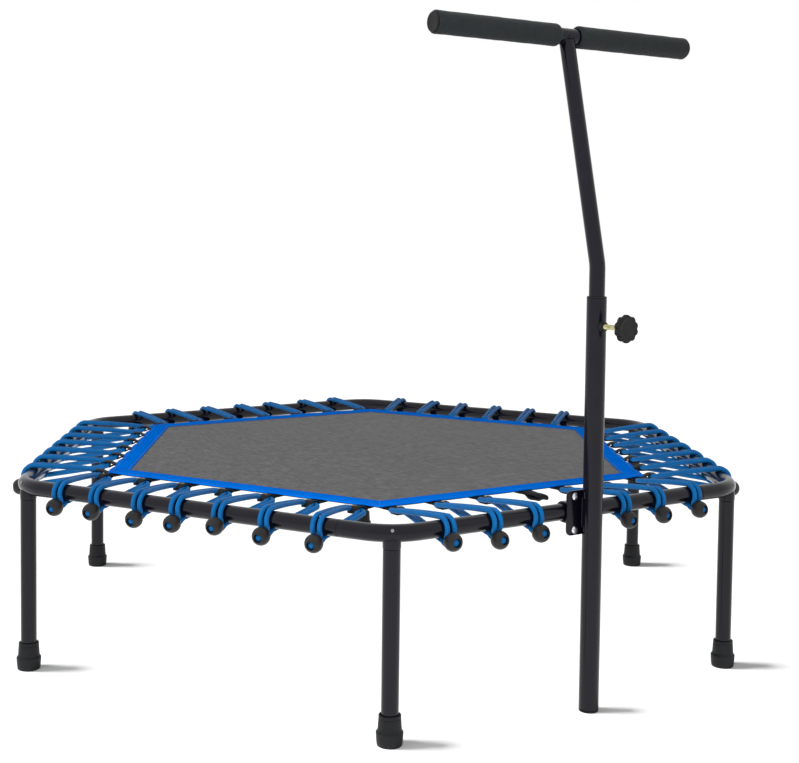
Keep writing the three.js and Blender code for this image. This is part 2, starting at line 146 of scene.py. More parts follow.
class Form:
    """Points, faces and texture coordinates of a piece that is being made."""

    def __init__(self):
        self.points = []
        self.faces = []
        self.uvs = []

    def skin(self, rows, ring=True, loop=False, caps=False):
        """Faces over rows of points. A ring closes each row, a loop joins the last row to the first."""
        base = len(self.points)
        width = len(rows[0])
        travel = [0.0]
        for row, following in zip(rows, rows[1:] + rows[:1]):
            travel.append(travel[-1] + (following[0] - row[0]).length)
        for row in rows:
            self.points.extend(row)
        for i in range(len(rows) if loop else len(rows) - 1):
            low = base + i * width
            high = base + (i + 1) % len(rows) * width
            for j in range(width if ring else width - 1):
                k = (j + 1) % width
                self.faces.append((low + j, low + k, high + k, high + j))
                u0, u1 = j / width, (j + 1) / width
                v0, v1 = travel[i], travel[i + 1]
                self.uvs.append([(u0, v0), (u1, v0), (u1, v1), (u0, v1)])
        if caps:
            for start in (base, base + (len(rows) - 1) * width):
                self.faces.append(tuple(range(start, start + width)))
                self.uvs.append([(0.5, 0.0)] * width)
        return self

    def move(self, matrix):
        self.points = [matrix @ point for point in self.points]
        return self

    def add(self, other):
        base = len(self.points)
        self.points.extend(other.points)
        self.faces.extend(tuple(base + i for i in face) for face in other.faces)
        self.uvs.extend(other.uvs)
        return self


def piece(name, form, slot, body="frame", replaces=(), material=None, sharp=32, bevel=0):
    """Turns a form into an object that rides on a body, with the finish of a material slot."""
    mesh = bpy.data.meshes.new(name)
    mesh.from_pydata([tuple(point) for point in form.points], [], form.faces)
    layer = mesh.uv_layers.new(name="UVMap")
    for polygon, corners in zip(mesh.polygons, form.uvs):
        for loop, uv in zip(polygon.loop_indices, corners):
            layer.data[loop].uv = uv
    work = bmesh.new()
    work.from_mesh(mesh)
    bmesh.ops.remove_doubles(work, verts=work.verts, dist=1e-6)
    bmesh.ops.recalc_face_normals(work, faces=work.faces)
    work.to_mesh(mesh)
    work.free()
    mesh.shade_smooth()
    mesh.set_sharp_from_angle(angle=math.radians(sharp))
    mesh.materials.append(material or LOOKS[slot])
    thing = added(name, mesh)
    if bevel:
        rounding = thing.modifiers.new("edges", "BEVEL")
        rounding.width = bevel
        rounding.segments = 2
        rounding.limit_method = "ANGLE"
        rounding.angle_limit = math.radians(40)
    if body:
        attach(thing, body)
    if replaces:
        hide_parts(*replaces)
    return thing


def arc(middle_x, middle_y, radius, start, end, steps):
    """Points on an arc, angles in degrees."""
    angles = [math.radians(start + (end - start) * i / steps) for i in range(steps + 1)]
    return [(middle_x + radius * math.cos(a), middle_y + radius * math.sin(a)) for a in angles]


def rounded(corners, steps=4):
    """An open outline through corners (x, y, radius), each rounded by its radius."""
    points = []
    for i, (x, y, radius) in enumerate(corners):
        here = Vector((x, y))
        if radius == 0 or i in (0, len(corners) - 1):
            points.append((x, y))
            continue
        to_last = (Vector(corners[i - 1][:2]) - here).normalized()
        to_next = (Vector(corners[i + 1][:2]) - here).normalized()
        half = to_last.angle(to_next) / 2
        reach = radius / math.tan(half)
        centre = here + (to_last + to_next).normalized() * radius / math.sin(half)
        first = here + to_last * reach - centre
        last = here + to_next * reach - centre
        sweep_angle = first.angle_signed(last)
        for k in range(steps + 1):
            spoke = first.copy()
            spoke.rotate(Matrix.Rotation(-sweep_angle * k / steps, 2))
            points.append(tuple(centre + spoke))
    return points


def lathe(profile, sides, place, hollow=False):
    """A body of revolution about Z. Where it is hollow, its profile is closed round a bore.

    A radius may be a function of the angle, for lobes and recesses.
    """
    rows = []
    for radius, z in profile:
        row = []
        for j in range(sides):
            angle = math.tau * j / sides
            r = radius(angle) if callable(radius) else radius
            row.append(Vector((r * math.cos(angle), r * math.sin(angle), z)))
        rows.append(row)
    return Form().skin(rows, loop=hollow, caps=not hollow).move(place)


def aimed(origin, direction, side=(1, 0, 0)):
    """A frame at origin, its Z along the direction and its X as near to side as it can be."""
    z = Vector(direction).normalized()
    x = (Vector(side) - z * z.dot(Vector(side))).normalized()
    y = z.cross(x)
    turn = Matrix((x, y, z)).transposed().to_4x4()
    return Matrix.Translation(origin) @ turn


def sweep(path, radius, sides=24, wall=0.0):
    """A round bar, or with a wall a tube, along a path. The radius may be a list, one for a point."""
    radii = radius if isinstance(radius, list) else [radius] * len(path)
    ahead = [(b - a).normalized() for a, b in zip(path, path[1:])]
    tangents = [ahead[0]] + [(a + b).normalized() for a, b in zip(ahead, ahead[1:])] + [ahead[-1]]
    spare = Vector((0, 0, 1)) if abs(tangents[0].z) < 0.9 else Vector((1, 0, 0))
    normal = tangents[0].cross(spare).normalized()
    outer, inner = [], []
    for point, tangent, r in zip(path, tangents, radii):
        normal = (normal - tangent * normal.dot(tangent)).normalized()
        across = tangent.cross(normal)
        spokes = []
        for j in range(sides):
            angle = math.tau * j / sides
            spokes.append(normal * math.cos(angle) + across * math.sin(angle))
        outer.append([point + spoke * r for spoke in spokes])
        inner.append([point + spoke * (r - wall) for spoke in spokes])
    if wall:
        return Form().skin(outer + inner[::-1], loop=True)
    return Form().skin(outer, caps=True)


def eased_tube(path, radius, sides, wall=0.0, ease=0.5 * MM):
    """A bar or a tube with rounded rims, by one more point near each end of the path."""
    first = (path[1] - path[0]).normalized() * ease
    last = (path[-2] - path[-1]).normalized() * ease
    longer = [path[0], path[0] + first, *path[1:-1], path[-1] + last, path[-1]]
    rim = radius - 0.8 * ease
    return sweep(longer, [rim] + [radius] * len(path) + [rim], sides, wall)


def smooth(points, spacing):
    """A Catmull-Rom curve through the points, cut into steps of about the spacing."""
    ends = [points[0] * 2 - points[1], *points, points[-1] * 2 - points[-2]]
    curve = []
    for a, b, c, d in zip(ends, ends[1:], ends[2:], ends[3:]):
        steps = max(2, round((c - b).length / spacing))
        for k in range(steps):
            t = k / steps
            curve.append(((b * 2) + (c - a) * t + (a * 2 - b * 5 + c * 4 - d) * t * t
                          + (b * 3 - a - c * 3 + d) * t ** 3) / 2)
    curve.append(points[-1])
    return curve


def side_frame(i):
    """Side i, from 0: X runs along it and -Y points outwards."""
    return Matrix.Translation(CENTRE) @ Matrix.Rotation(math.radians(60 * i), 4, "Z")


def mat_frame(i):
    """Side i of the mat, which is turned a little in the frame."""
    return Matrix.Translation(CENTRE) @ Matrix.Rotation(math.radians(60 * i) + TWIST, 4, "Z")


def corner_frame(i):
    """Corner i, from 0: -Y points outwards through it."""
    return Matrix.Translation(CENTRE) @ Matrix.Rotation(math.radians(60 * i - 30), 4, "Z")


def at(along, out, up):
    return Vector((along, -out, up))


# ---------------- materials

class Look:
    """A procedural material made of shader nodes around one Principled BSDF."""

    def __init__(self, name, **surface):
        self.material = bpy.data.materials.new(name)
        self.material.use_nodes = True
        self.tree = self.material.node_tree
        self.surface = self.tree.nodes["Principled BSDF"]
        self.set(**surface)

    def put(self, socket, value):
        if isinstance(value, bpy.types.NodeSocket):
            self.tree.links.new(value, socket)
        elif isinstance(value, tuple) and len(value) == 3 and socket.type == "RGBA":
            socket.default_value = (*value, 1)
        else:
            socket.default_value = value

    def node(self, kind, inputs, **settings):
        made = self.tree.nodes.new("ShaderNode" + kind)
        for key, value in settings.items():
            setattr(made, key, value)
        for key, value in inputs.items():
            self.put(made.inputs[key], value)
        return made

    def set(self, **surface):
        for key, value in surface.items():
            self.put(self.surface.inputs[key.replace("_", " ")], value)
        return self.material

    def position(self):
        return self.node("TexCoord", {}).outputs["Object"]

    def uv(self):
        return self.node("TexCoord", {}).outputs["UV"]

    def stretched(self, vector, x, y, z):
        return self.node("Mapping", {"Vector": vector, "Scale": (x, y, z)}).outputs["Vector"]

    def split(self, vector):
        return self.node("SeparateXYZ", {"Vector": vector}).outputs

    def math(self, operation, a, b=0.0):
        return self.node("Math", {0: a, 1: b}, operation=operation).outputs[0]

    def times(self, a, b):
        return self.math("MULTIPLY", a, b)

    def wave(self, value, pitch):
        """A sine of the value with the given pitch, from 0 to 1."""
        sine = self.math("SINE", self.times(value, math.tau / pitch))
        return self.math("ADD", self.times(sine, 0.5), 0.5)

    def noise(self, vector, scale, detail=2.0, roughness=0.5):
        inputs = {"Vector": vector, "Scale": scale, "Detail": detail, "Roughness": roughness}
        return self.node("TexNoise", inputs).outputs["Fac"]

    def cells(self, vector, scale):
        return self.node("TexVoronoi", {"Vector": vector, "Scale": scale}).outputs["Distance"]

    def span(self, value, low, high, to_low, to_high):
        """Maps the value from low..high to to_low..to_high, clamped."""
        numbers = {"Value": value, "From Min": low, "From Max": high,
                   "To Min": to_low, "To Max": to_high}
        return self.node("MapRange", numbers).outputs["Result"]

    def even(self, noise, to_low, to_high):
        """Maps the part of a noise where most of it lies."""
        return self.span(noise, 0.3, 0.7, to_low, to_high)

    def blend(self, share, first, second):
        made = self.node("Mix", {"Factor": share}, data_type="RGBA")
        self.put(made.inputs[6], first)
        self.put(made.inputs[7], second)
        return made.outputs[2]

    def bump(self, height, depth, strength=1.0, under=None):
        inputs = {"Height": height, "Distance": depth, "Strength": strength}
        if under is not None:
            inputs["Normal"] = under
        return self.node("Bump", inputs).outputs["Normal"]


def powder_coat():
    """Semi-gloss black powder coat: fine orange peel, faint dust and handling marks."""
    look = Look("black_paint", Specular_IOR_Level=0.27)
    place = look.position()
    peel = look.noise(place, 900, 3)
    marks = look.noise(look.stretched(place, 6, 6, 2.5), 9, 6, 0.65)
    dust = look.span(look.noise(place, 45, 8, 0.7), 0.5, 0.8, 0, 0.5)
    colour = look.blend(dust, (0.0018, 0.0016, 0.0045), (0.006, 0.006, 0.009))
    rough = look.span(marks, 0.35, 0.7, 0.14, 0.24)
    return look.set(Base_Color=colour, Roughness=rough, Normal=look.bump(peel, 0.12 * MM, 0.25))


def zinc(name, light, dark):
    """Plated steel with fine scratches and a slightly cloudy film."""
    look = Look(name, Metallic=1.0)
    place = look.position()
    cloud = look.noise(place, 160, 4)
    scratches = look.noise(look.stretched(place, 60, 60, 900), 12, 3)
    colour = look.blend(look.span(cloud, 0.35, 0.65, 0, 1), light, dark)
    rough = look.even(scratches, 0.18, 0.36)
    return look.set(Base_Color=colour, Roughness=rough, Normal=look.bump(scratches, 0.03 * MM, 0.4))


def rubber(name, colour, dusty, rough):
    """Moulded rubber: a fine matt grain, with pale dust in it."""
    look = Look(name, Specular_IOR_Level=0.3)
    place = look.position()
    grain = look.noise(place, 2200, 2)
    dust = look.span(look.noise(place, 70, 7, 0.75), 0.5, 0.75, 0, 0.7)
    return look.set(Base_Color=look.blend(dust, colour, dusty),
                    Roughness=look.even(grain, rough, rough + 0.15),
                    Normal=look.bump(grain, 0.1 * MM, 0.35))


def plastic():
    """Spark-eroded black plastic."""
    look = Look("black_plastic", Specular_IOR_Level=0.22)
    place = look.position()
    pits = look.noise(place, 1600, 3, 0.6)
    cloud = look.noise(place, 60, 5)
    colour = look.blend(look.span(cloud, 0.4, 0.7, 0, 1), (0.003, 0.003, 0.0035), (0.007, 0.007, 0.008))
    return look.set(Base_Color=colour, Roughness=look.even(pits, 0.36, 0.52),
                    Normal=look.bump(pits, 0.12 * MM, 0.4))


def foam():
    """Closed-cell foam: tiny open cells in a skin that has dried a little uneven."""
    look = Look("grip_foam", Sheen_Weight=0.06, Sheen_Roughness=0.5, Specular_IOR_Level=0.12)
    place = look.position()
    cell = look.cells(place, 1400)
    skin = look.noise(place, 110, 5, 0.6)
    # The colour is darker in the cells' pits, a painted shade, times the skin's uneven tone.
    recess_shade_and_tone = look.times(look.span(cell, 0.05, 0.45, 0.35, 1), look.even(skin, 0.7, 1))
    under = look.bump(skin, 0.35 * MM, 0.5)
    return look.set(Base_Color=look.blend(recess_shade_and_tone, (0.004, 0.0046, 0.005), (0.014, 0.017, 0.018)),
                    Roughness=look.span(cell, 0.1, 0.5, 0.95, 0.75),
                    Normal=look.bump(cell, 0.25 * MM, 0.6, under))


def mat_weave():
    """Woven polypropylene: flat tapes over and under each other, each a little different in tone."""
    look = Look("mat_fabric", Specular_IOR_Level=0.3)
    place = look.position()
    x, y = look.split(place)[:2]
    pitch = 2.4 * MM
    warp = look.wave(x, pitch)
    weft = look.wave(y, pitch)
    over = look.times(look.math("SUBTRACT", look.wave(x, 2 * pitch), 0.5),
                      look.math("SUBTRACT", look.wave(y, 2 * pitch), 0.5))
    on_top = look.span(over, -0.02, 0.02, 0, 1)
    tapes = look.node("Mix", {0: on_top, 2: warp, 3: weft}).outputs[0]

    def streaks(across, along, detail, roughness):
        """A noise drawn out along the warp, and one along the weft."""
        return [look.noise(look.stretched(place, *scales, 1), 1.0, detail, roughness)
                for scales in ((across, along), (along, across))]

    warp_tone, weft_tone = streaks(330, 5, 3, 0.7)
    tone = look.node("Mix", {0: on_top, 2: warp_tone, 3: weft_tone}).outputs[0]
    bands = look.times(*(look.span(band, 0.32, 0.68, 0.15, 1.85)
                         for band in streaks(420, 55, 2, 0.6)))
    worn = look.noise(place, 5, 5, 0.6)
    # Each tape is darker towards its edges, a painted shade in the grooves between the tapes; the tone
    # and streaks vary at random.
    light = look.times(look.span(tone, 0.25, 0.75, 0.3, 1), look.span(tapes, 0, 1, 0.45, 1))
    light = look.times(light, look.even(worn, 0.85, 1.1))
    light = look.times(light, bands)
    colour = look.blend(light, (0.004, 0.004, 0.005), (0.084, 0.081, 0.084))
    return look.set(Base_Color=colour, Roughness=look.span(tone, 0.2, 0.8, 0.45, 0.65),
                    Normal=look.bump(tapes, 0.35 * MM, 0.5))


def border_weave():
    """Blue edging: a close ribbed weave, a little duller where it has been walked on."""
    look = Look("border_fabric", Specular_IOR_Level=0.0)
    place = look.position()
    u, v = look.split(look.uv())[:2]
    ribs = look.wave(v, 1.5 * MM)
    across = look.wave(u, 1 / 22)
    weave = look.math("MAXIMUM", ribs, across)
    worn = look.noise(place, 14, 6, 0.65)
    # Darker between the ribs of the weave, a painted shade in the grooves, and a little duller at
    # random where worn.
    tone = look.times(look.span(weave, 0, 1, 0.55, 1), look.even(worn, 0.8, 1.05))
    colour = look.blend(tone, (0.0, 0.040, 0.21), (0.0, 0.132, 0.60))
    return look.set(Base_Color=colour, Roughness=look.even(worn, 0.8, 0.9),
                    Normal=look.bump(weave, 0.2 * MM, 0.6))


def braid():
    """A tight polyester braid over rubber: two sets of yarns wound against each other."""
    look = Look("bungee_cord", Specular_IOR_Level=0.2)
    u, v = look.split(look.uv())[:2]
    turns = 8
    lay = 11 * MM
    twist = look.times(u, turns)
    run = look.math("DIVIDE", v, lay / turns * 2)
    right = look.wave(look.math("ADD", twist, run), 1)
    left = look.wave(look.math("SUBTRACT", twist, run), 1)
    yarn = look.math("MAXIMUM", right, left)
    tone = look.noise(look.position(), 60, 4)
    # The colour is darker between the yarns, a painted shade in the braid's grooves, times a tone that
    # varies at random.
    recess_shade_and_tone = look.times(look.span(yarn, 0.3, 1, 0.35, 1), look.even(tone, 0.8, 1))
    colour = look.blend(recess_shade_and_tone, (0.0, 0.018, 0.07), (0.0, 0.115, 0.34))
    return look.set(Base_Color=colour, Roughness=0.55, Normal=look.bump(yarn, 0.35 * MM, 0.7))


def webbing():
    """Black polypropylene webbing, ribbed across."""
    look = Look("black_webbing", Specular_IOR_Level=0.15)
    u, v = look.split(look.uv())[:2]
    ribs = look.math("MAXIMUM", look.wave(v, 1.8 * MM), look.wave(u, 1 / 9))
    tone = look.noise(look.position(), 90, 4)
    # Darker between the ribs, a painted shade in the grooves, times a tone that varies at random.
    recess_shade_and_tone = look.times(ribs, look.even(tone, 0.6, 1))
    return look.set(Base_Color=look.blend(recess_shade_and_tone, (0.002, 0.002, 0.003), (0.010, 0.010, 0.012)),
                    Roughness=0.7, Normal=look.bump(ribs, 0.3 * MM, 0.6))


def thread():
    look = Look("thread", Sheen_Weight=0.2, Sheen_Roughness=0.4)
    # Dark bands along the twist, a painted shade between the plies.
    twist = look.wave(look.split(look.uv())[1], 0.8 * MM)
    colour = look.blend(twist, (0.002, 0.006, 0.03), (0.01, 0.03, 0.12))
    return look.set(Base_Color=colour, Roughness=0.6)


def pale_floor():
    """White sweep. Most of its brightness is its own, so that only clear shadows show on it."""
    look = Look("floor", Roughness=0.9, Specular_IOR_Level=0.0, Emission_Color=(1, 1, 1),
                Emission_Strength=0.14)
    tone = look.noise(look.position(), 2.0, 3)
    return look.set(Base_Color=look.blend(tone, (0.195, 0.195, 0.195), (0.205, 0.205, 0.205)))


LOOKS = {
    "black_paint": powder_coat(),
    "zinc": zinc("zinc", (0.78, 0.78, 0.80), (0.60, 0.61, 0.64)),
    "yellow_zinc": zinc("yellow_zinc", (0.60, 0.57, 0.33), (0.36, 0.34, 0.17)),
    "foot_rubber": rubber("foot_rubber", (0.002, 0.0024, 0.0034), (0.008, 0.009, 0.010), 0.5),
    "black_plastic": plastic(),
    "grip_foam": foam(),
    "mat_fabric": mat_weave(),
    "border_fabric": border_weave(),
    "bungee_cord": braid(),
}
BALL_LOOK = rubber("ball_rubber", (0.008, 0.007, 0.007), (0.024, 0.021, 0.020), 0.34)
WEBBING = webbing()
DULL_ZINC = zinc("dull_zinc", (0.42, 0.42, 0.44), (0.28, 0.28, 0.30))
THREAD = thread()


# ---------------- frame

def corner_path(arm):
    """The centre line of a corner rail, in its corner's frame."""
    bend = arc(0, BEND_R - CORNER_R, BEND_R, -120, -60, 16)
    points = [Vector((x, y, RAIL_Z)) for x, y in bend]
    lead, tail = (Vector((COS, hand * COS * TAN, 0)) for hand in (-1, 1))
    return [points[0] - lead * arm, *points, points[-1] + tail * arm]


def corner_rail():
    arm = (APOTHEM - BEND_R) * TAN - SIDE_HALF - 0.3 * MM
    tube = eased_tube(corner_path(arm), RAIL_R, 32, WALL)
    low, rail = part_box("rail_corner_1")[0].z / MM, RAIL_Z / MM
    socket = rounded(in_mm([(0, low, 0), (12.6, low, 0.4), (13, low + 1, 0.4), (13, rail - 9, 2),
                            (11, rail - 4, 1), (0, rail - 3, 0)]))
    return tube.add(lathe(socket, 32, Matrix.Translation(at(0, CORNER_R, 0))))


def side_rail():
    """The tube between two corners, with its swaged ends that slide into them."""
    spigot = RAIL_R - WALL - 0.5 * MM
    bore = 0.85 * spigot
    end = SIDE_HALF + SPIGOT
    profile = [(spigot, -end), (spigot, -SIDE_HALF - 2 * MM), (spigot + 0.2 * MM, -SIDE_HALF),
               (RAIL_R - 0.5 * MM, -SIDE_HALF), (RAIL_R, -SIDE_HALF + 0.6 * MM)]
    profile += [(radius, -x) for radius, x in reversed(profile)]
    profile += [(bore, end), (bore, -end)]
    return lathe(profile, 32, aimed(at(0, APOTHEM, RAIL_Z), (1, 0, 0), (0, 1, 0)), hollow=True)


def leg_tube():
    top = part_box("rail_corner_1")[0].z - 0.3 * MM
    low = FOOT_FLOOR + 0.3 * MM
    return eased_tube([at(0, CORNER_R, low), at(0, CORNER_R, top)], RAIL_R, 32, ease=0.6 * MM)


def rubber_foot():
    """A ferrule foot: a collar round the leg, a shoulder, and a wider base with a tread in its sole."""
    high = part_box("foot_1")[1].z / MM
    base = half_size("foot_3").x / MM
    collar = 15.8
    bore, inside = RAIL_R / MM + 0.25, FOOT_FLOOR / MM
    profile = rounded(in_mm([
        (0, 1, 0), (9, 1, 0.3), (9.6, 0, 0.2), (12.6, 0, 0.2), (13.2, 1, 0.2), (15, 1, 0.2),
        (15.6, 0, 0.2), (base - 1.7, 0, 1.4), (base - 0.9, 6, 1), (base, 19, 1.2),
        (collar + 1.3, 22.6, 1.2), (collar + 0.8, 30, 1), (collar + 0.2, 38.2, 0.2),
        (collar - 0.3, 38.6, 0.2), (collar - 0.3, 39.2, 0.2), (collar + 0.2, 39.6, 0.2),
        (collar, high, 1.3), (bore + 0.6, high, 0.5), (bore, high - 1.5, 0.5),
        (bore, inside, 0), (0, inside, 0)]), 3)
    return lathe(profile, 40, Matrix.Translation(at(0, CORNER_R, 0)))


def cross_recess(arm, half_width):
    """The outline of a cross-head recess, as a radius for each angle."""
    def radius(angle):
        a = abs((angle + math.pi / 4) % (math.pi / 2) - math.pi / 4)
        if math.tan(a) * arm < half_width:
            return arm / math.cos(a)
        return half_width / math.sin(a)
    return radius


def screw_head(radius, height, shank, place):
    """A pan head with a cross recess: Z is the way that it faces, and it is seated at 0."""
    recess = cross_recess(radius * 0.55, radius * 0.15)
    profile = [(radius * 0.55, -shank), (radius * 0.55, 0), (radius * 0.97, 0), (radius, height * 0.12)]
    profile += [(radius * math.cos(t), height * (0.35 + 0.65 * math.sin(t)))
                for t in (math.radians(d) for d in (0, 18, 36, 50))]
    profile += [(recess, height * 0.93), (cross_recess(radius * 0.42, radius * 0.12), height * 0.35)]
    return lathe(profile, 48, place)


feet = []
for i in range(SIDES):
    corner = corner_frame(i)
    label = i + 1
    piece(f"rail_bend_{label}", corner_rail().move(corner), "black_paint",
          replaces=[f"rail_corner_{label}"])
    piece(f"leg_tube_{label}", leg_tube().move(corner), "black_paint", replaces=[f"leg_{label}"])
    feet.append(piece(f"rubber_foot_{label}", rubber_foot().move(corner), "foot_rubber",
                      replaces=[f"foot_{label}"]))
    facing = at(0, math.cos(SCREW_RISE), math.sin(SCREW_RISE))
    place = at(0, CORNER_R, RAIL_Z) + facing * (RAIL_R + 0.1 * MM)
    seat = aimed(place, facing, (math.sin(label), 0, math.cos(label)))
    screw = screw_head(2.4 * MM, 1.4 * MM, 4 * MM, seat)
    piece(f"joint_screw_{label}", screw.move(corner), "zinc", material=DULL_ZINC,
          replaces=[f"corner_screw_{label}"])
    piece(f"rail_tube_{label}", side_rail().move(side_frame(i)), "black_paint",
          replaces=[f"rail_side_{label}"])


# ---------------- mat

def pull(along):
    """How far the mat's edge is drawn in between the tabs, and at the corners."""
    share = (1 - math.cos(math.tau * along / SPACING)) / 2
    reach = (BUNGEES - 1) / 2 * SPACING
    if abs(along) < reach:
        return 2.6 * MM * share
    return 1.2 * MM * min(1, (abs(along) - reach) / (15 * MM))


def sheet_point(side, share, out, up):
    """A point of the mat, out from the middle and a share from -1 to 1 of the way along a side."""
    along = share * out * TAN
    near_edge = max(0.0, 1 - (MAT_EDGE - out) / (45 * MM))
    drawn = pull(share * MAT_EDGE * TAN) * near_edge ** 2
    lift = 0.5 * MM * near_edge ** 2 * math.cos(math.tau * along / SPACING)
    return side @ at(along, out - drawn, up + lift)


def hexagon_row(out, up):
    """A row of points right round the mat."""
    steps = 26
    return [sheet_point(mat_frame(i), -1 + 2 * k / steps, out, up)
            for i in range(SIDES) for k in range(steps)]


def mat_sheet():
    edges = [out * MM for out in (1, 60, 120, 180, 240, 300, 350, 390, 412, 424, 434, 442)]
    edges.append(MAT_EDGE - 1 * MM)
    top = [hexagon_row(out, MAT_TOP) for out in edges]
    rim = [hexagon_row(MAT_EDGE, MAT_TOP - MAT_THICK / 2)]
    bottom = [hexagon_row(out, MAT_TOP - MAT_THICK) for out in reversed(edges)]
    return Form().skin(top + rim + bottom, caps=True)


def strips(section):
    """A mitred strip along each side of the mat. The section is a closed outline (out, up)."""
    steps = 60
    reach = 0.9985                  # just short of the strips beside it
    shares = [reach * (-1 + 2 * k / steps) for k in range(steps + 1)]
    form = Form()
    for i in range(SIDES):
        side = mat_frame(i)
        form.skin([[sheet_point(side, share, out, up) for out, up in section] for share in shares],
                  caps=True)
    return form


def border_section():
    """Cloth with hems and with its two seams drawn in, folded over the mat's edge."""
    low = MAT_TOP / MM + 0.15
    high = low + 1
    inner, outer = (MAT_EDGE - BORDER_WIDTH) / MM, MAT_EDGE / MM
    return in_mm([
        (inner, low), (inner - 0.2, low + 0.4), (inner + 0.3, high - 0.1), (inner + 2, high),
        (inner + 3.2, high - 0.25), (inner + 5, high), (inner + 16, high + 0.25), (outer - 7, high),
        (outer - 5, high - 0.25), (outer - 3, high + 0.3), (outer - 0.6, high + 0.2),
        (outer + 0.7, high - 0.9), (outer + 0.6, low - 1.2), (outer + 0.2, low - 1.2),
        (outer + 0.2, low)])


def tape_section():
    high = (MAT_TOP - MAT_THICK) / MM - 0.15
    low = high - 1.1
    outer = MAT_EDGE / MM
    inner = outer - 27
    return in_mm([(inner, low), (inner, high), (outer - 2, high), (outer - 0.3, high - 0.5),
                  (outer - 2, low)])


def stitch(start, end, up):
    """One stitch lying on the cloth, its ends sunk into it."""
    sink = Vector((0, 0, -0.45 * MM))
    path = [start + sink, start.lerp(end, 0.22) + up, start.lerp(end, 0.78) + up, end + sink]
    return sweep(path, [0.22 * MM, 0.36 * MM, 0.36 * MM, 0.22 * MM], 6)


def stitching():
    """Two rows of stitches along each strip of the border and one down each mitre."""
    form = Form()
    length = 3.4 * MM
    gap = 1.6 * MM
    lift = Vector((0, 0, 0.1 * MM))
    for i in range(SIDES):
        side = mat_frame(i)
        for out in (MAT_EDGE - BORDER_WIDTH + 3.2 * MM, MAT_EDGE - 5 * MM):
            reach = out * TAN
            count = int(2 * reach / (length + gap))
            up = MAT_TOP + 1 * MM
            for k in range(count):
                a = (k * (length + gap) + gap / 2) / reach - 1
                b = a + length / reach
                form.add(stitch(sheet_point(side, a, out, up), sheet_point(side, b, out, up), lift))
        beside_mitre = 0.993
        for k in range(6):
            out = MAT_EDGE - BORDER_WIDTH + (4.5 + k * 4.6) * MM
            ends = [sheet_point(side, beside_mitre, place, MAT_TOP + 1.25 * MM)
                    for place in (out, out + 3 * MM)]
            form.add(stitch(*ends, lift))
    return form


mat = piece("woven_mat", mat_sheet(), "mat_fabric", "mat", ["mat_fabric"], sharp=60)
edging = piece("mat_edging", strips(border_section()), "border_fabric", "mat", ["mat_border"],
               sharp=50)
binding = piece("edge_tape", strips(tape_section()), "mat_fabric", "mat", material=WEBBING)
seams = piece("edging_stitches", stitching(), "border_fabric", "mat", material=THREAD)


# ---------------- bungees

def on_rail(along, degrees, extra=0.0):
    """A point of a cord that lies on the rail, at an angle above the outward direction."""
    angle = math.radians(degrees)
    radius = RAIL_R + CORD_R + 0.25 * MM + extra
    return at(along, APOTHEM + radius * math.cos(angle), RAIL_Z + radius * math.sin(angle))


def strand(x, eye, lane, pair):
    """Half a cord: out of the ball, under the rail, through the tab and back over the rail.

    Lane is 1 or -1 for the two strands that lie side by side, eye is the place in the tab.
    """
    def in_tab(level):
        """Into the tab along its lower side for 1, along its upper side for -1."""
        spread = 11.5 - 3.9 * lane
        return [eye + MM * at(level * along, out, -level * drop) for along, out, drop in (
            (spread, 15, 4.2), (spread - 1, 5.5 + 4 * lane, 2.6), (6.5, 0.6 + 4 * lane, 0.9))]

    below, above = in_tab(1), in_tab(-1)
    under = [on_rail(x - lane * 3.95 * MM, angle) for angle in (-88, -100, -112)]
    over = [on_rail(x + lane * pair / 2, angle) for angle in (98, 78, 56, 34, 10)]
    rise = Vector((0, 0, 0.8 * MM))
    return [
        at(x - lane * 2.7 * MM, APOTHEM + BALL_OUT - 6 * MM, RAIL_Z - BALL_DROP - 1.4 * MM),
        at(x - lane * 3.8 * MM, APOTHEM + 8 * MM, RAIL_Z - 20.6 * MM),
        *under, under[-1].lerp(below[0], 0.5), *below, eye + at(0, lane * 4 * MM, 0), *above[::-1],
        above[0].lerp(over[0], 0.35) + rise, above[0].lerp(over[0], 0.7) + rise, *over,
        on_rail(x + lane * pair / 2, -14, 0.1 * MM),
        on_rail(x + lane * (pair / 2 - 0.7 * MM), -38, 0.2 * MM)]


def bungee_cord(x, eye, pair, ball, axis):
    first = strand(x, eye, 1, pair)
    second = strand(x, eye, -1, pair)
    bight = at(x, APOTHEM + 10.4 * MM, RAIL_Z - 16.6 * MM)
    form = sweep(smooth([*first, bight, *reversed(second)], 3.2 * MM), CORD_R, 12)
    knot = in_mm([(0, 6, 0), (5.2, 6, 0.4), (5.5, 8, 1.6), (2.6, 9.6, 1.4), (0, 9.2, 0)])
    return form.add(lathe(rounded(knot), 16, aimed(ball, axis)))


def ball_end(ball, axis):
    """A ball with a wide mouth on the rail's side and a hole for the knot on the other."""
    radius, mouth, hole = BALL_R / MM, 8.2, 6.5
    up, down = (math.degrees(math.acos(opening / radius)) for opening in (mouth, hole))
    profile = [(0, -5), (mouth - 0.6, -5), (mouth - 0.5, -9.9), *arc(0, 0, radius, -up, -4, 9),
               (radius - 0.25, -0.25), (radius - 0.25, 0.25), *arc(0, 0, radius, 4, down, 9),
               (hole - 0.5, 10.7), (hole - 0.5, 5.6), (0, 5.6)]
    return lathe(in_mm(profile), 28, aimed(ball, axis))


# Round a strap's section: share of the half width, and of the half thickness.
UPPER_FACE = [(-1, 0.3), (-0.94, 1), (-0.5, 1), (0, 1), (0.5, 1), (0.94, 1), (1, 0.3)]
WEBBING_SECTION = UPPER_FACE + [(-share, -lift) for share, lift in UPPER_FACE]


